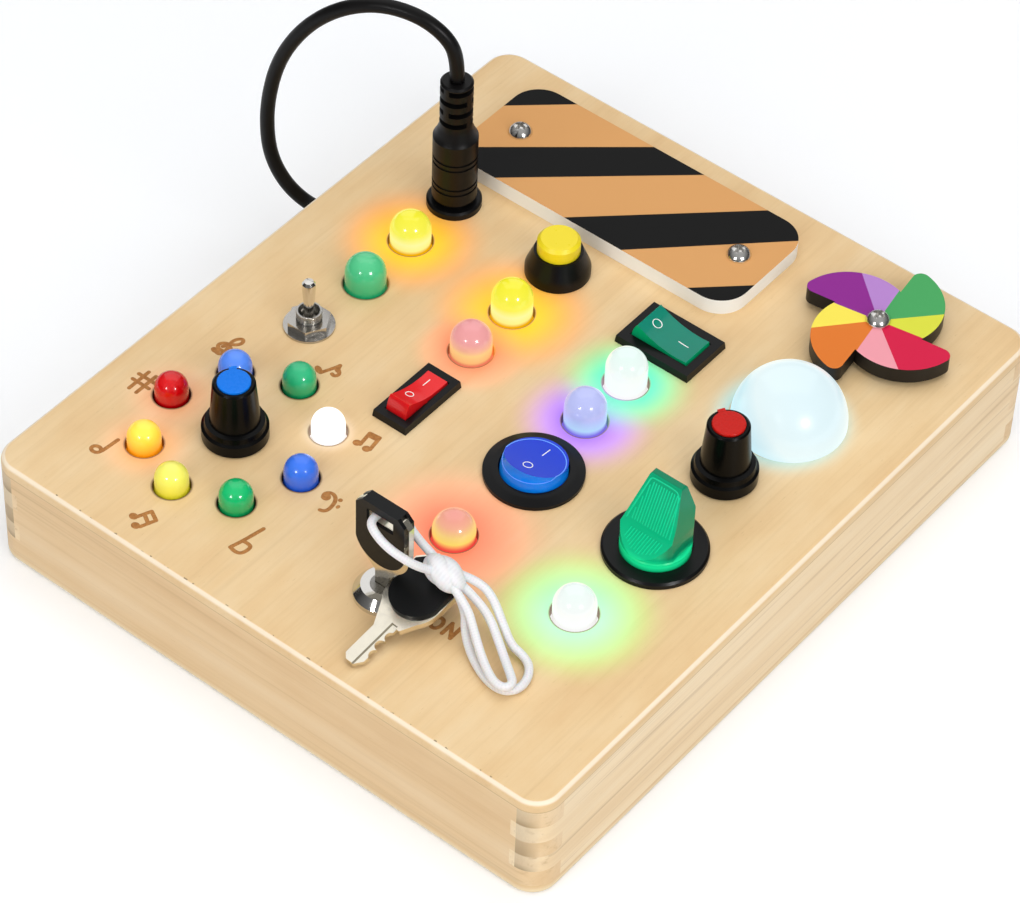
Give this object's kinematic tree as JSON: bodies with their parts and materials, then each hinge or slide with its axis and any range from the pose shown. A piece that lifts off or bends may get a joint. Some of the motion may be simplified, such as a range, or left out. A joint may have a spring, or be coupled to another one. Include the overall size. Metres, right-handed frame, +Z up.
{
  "type": "wooden busy board",
  "caption": "Wooden activity board for a young child: finger-jointed case with lamps, rockers, toggle, knobs, button, key lock, pinwheel, sign plate and a power plug on a cord.",
  "frame": {"origin": "centre of the case underside, which rests on the table", "axes": "+X along the front edge to the right, +Y from the front edge to the sign plate, +Z up"},
  "size_m": [0.1804, 0.186, 0.089],
  "materials": {
    "solid_wood": "satin",
    "lid_wood": "satin",
    "base_wood": "satin",
    "zinc_screws": "satin",
    "black_plastic": "matt",
    "cell_jacket": "gloss",
    "circuit_board": "gloss",
    "wire_sheath": "satin",
    "printed_sign": "satin",
    "steel_screws": "polished",
    "printed_wheel": "satin",
    "nylon_spacer": "matt",
    "ring_lenses": "gloss",
    "yellow_lens": "gloss",
    "green_lens": "gloss",
    "pink_lens": "gloss",
    "violet_lens": "gloss",
    "amber_lens": "gloss",
    "white_lens": "gloss",
    "opal_dome": "gloss",
    "plated_bush": "satin",
    "plated_nut": "polished",
    "plated_lever": "polished",
    "knob_plastic": "satin",
    "blue_cap": "gloss",
    "red_cap": "gloss",
    "switch_plastic": "satin",
    "red_rocker": "gloss",
    "green_rocker": "gloss",
    "blue_rocker": "gloss",
    "green_handle": "gloss",
    "yellow_cap": "satin",
    "spring_steel": "satin",
    "chrome_lock": "polished",
    "lock_core": "satin",
    "nickel_key": "satin",
    "key_plastic": "satin",
    "white_cord": "matt",
    "cord_rubber": "satin"
  },
  "bodies": {
    "root": {"front_wall": "solid_wood", "rear_wall": "solid_wood", "left_wall": "solid_wood", "right_wall": "solid_wood", "top_panel": "lid_wood", "bottom_panel": "base_wood", "case_screws": "zinc_screws", "battery_box": "black_plastic", "battery_cells": "cell_jacket", "battery_cover": "black_plastic", "control_board": "circuit_board", "wiring_loom": "wire_sheath", "sign_plate": "printed_sign", "face_screws": "steel_screws", "pinwheel_spacer": "nylon_spacer", "ring_lamps": "ring_lenses", "lamp_yellow": "yellow_lens", "lamp_green": "green_lens", "lamp_pink": "pink_lens", "lamp_violet": "violet_lens", "lamp_amber": "amber_lens", "lamp_white": "white_lens", "dome_lens": "opal_dome", "dome_base": "black_plastic", "toggle_switch": "plated_bush", "toggle_nut": "plated_nut", "selector_switch": "plated_bush", "dimmer_switch": "plated_bush", "red_rocker_housing": "switch_plastic", "green_rocker_housing": "switch_plastic", "round_rocker_housing": "switch_plastic", "lever_switch": "switch_plastic", "button_collar": "switch_plastic", "button_spring": "spring_steel", "lock_body": "chrome_lock", "spare_key_blade": "nickel_key", "spare_key_cover": "key_plastic", "lanyard_neck": "white_cord", "lanyard_knot": "white_cord", "lanyard_loops": "white_cord", "dc_jack": "switch_plastic", "power_cord": "cord_rubber", "cord_gland": "switch_plastic", "panel_nuts": "plated_nut"},
    "toggle": {"toggle_lever": "plated_lever"},
    "selector": {"selector_knob": "knob_plastic", "selector_cap": "blue_cap"},
    "dimmer": {"dimmer_knob": "knob_plastic", "dimmer_cap": "red_cap"},
    "red_rocker": {"red_rocker": "red_rocker"},
    "green_rocker": {"green_rocker": "green_rocker"},
    "round_rocker": {"round_rocker": "blue_rocker"},
    "lever": {"lever_handle": "green_handle"},
    "button": {"button_cap": "yellow_cap"},
    "key": {"lock_rotor": "lock_core", "key_blade": "nickel_key", "key_cover": "key_plastic"},
    "wheel": {"pinwheel": "printed_wheel"},
    "plug": {"plug_moulding": "cord_rubber", "plug_barrel": "plated_lever"}
  },
  "joints": [
    {"name": "toggle_tilt", "type": "hinge", "parent": "root", "child": "toggle", "pos_m": [-0.0523, -0.0143, 0.0325], "axis": [1, 0, 0], "range_deg": [-12, 12]},
    {"name": "selector_turn", "type": "hinge", "parent": "root", "child": "selector", "pos_m": [-0.042, -0.0519, 0.031], "axis": [0, 0, 1], "range_deg": [-180, 135]},
    {"name": "dimmer_turn", "type": "hinge", "parent": "root", "child": "dimmer", "pos_m": [0.0507, 0.01, 0.031], "axis": [0, 0, 1], "range_deg": [-210, 90]},
    {"name": "red_rocker_tilt", "type": "hinge", "parent": "root", "child": "red_rocker", "pos_m": [-0.0173, -0.017, 0.032], "axis": [1, 0, 0], "range_deg": [0, 24]},
    {"name": "green_rocker_tilt", "type": "hinge", "parent": "root", "child": "green_rocker", "pos_m": [0.0158, 0.0355, 0.032], "axis": [0, -1, 0], "range_deg": [0, 24]},
    {"name": "round_rocker_tilt", "type": "hinge", "parent": "root", "child": "round_rocker", "pos_m": [0.0172, -0.0171, 0.032], "axis": [1, 0, 0], "range_deg": [0, 24]},
    {"name": "lever_turn", "type": "hinge", "parent": "root", "child": "lever", "pos_m": [0.0523, -0.0177, 0.031], "axis": [0, 0, 1], "range_deg": [0, 90]},
    {"name": "button_press", "type": "slide", "parent": "root", "child": "button", "axis": [0, 0, -1], "range_m": [0, 0.0025], "stiffness_N_per_m": 400, "springref_m": -0.001, "deforming": ["button_spring"]},
    {"name": "key_turn", "type": "hinge", "parent": "root", "child": "key", "pos_m": [0.0148, -0.0668, 0.031], "axis": [0, 0, 1], "range_deg": [0, 90], "deforming": ["lanyard_neck"]},
    {"name": "wheel_spin", "type": "hinge", "parent": "root", "child": "wheel", "pos_m": [0.0512, 0.0686, 0.031], "axis": [0, 0, 1], "continuous": true},
    {"name": "plug_pull", "type": "slide", "parent": "root", "child": "plug", "axis": [0, 0, 1], "range_m": [0, 0.01], "deforming": ["power_cord"]}
  ]
}
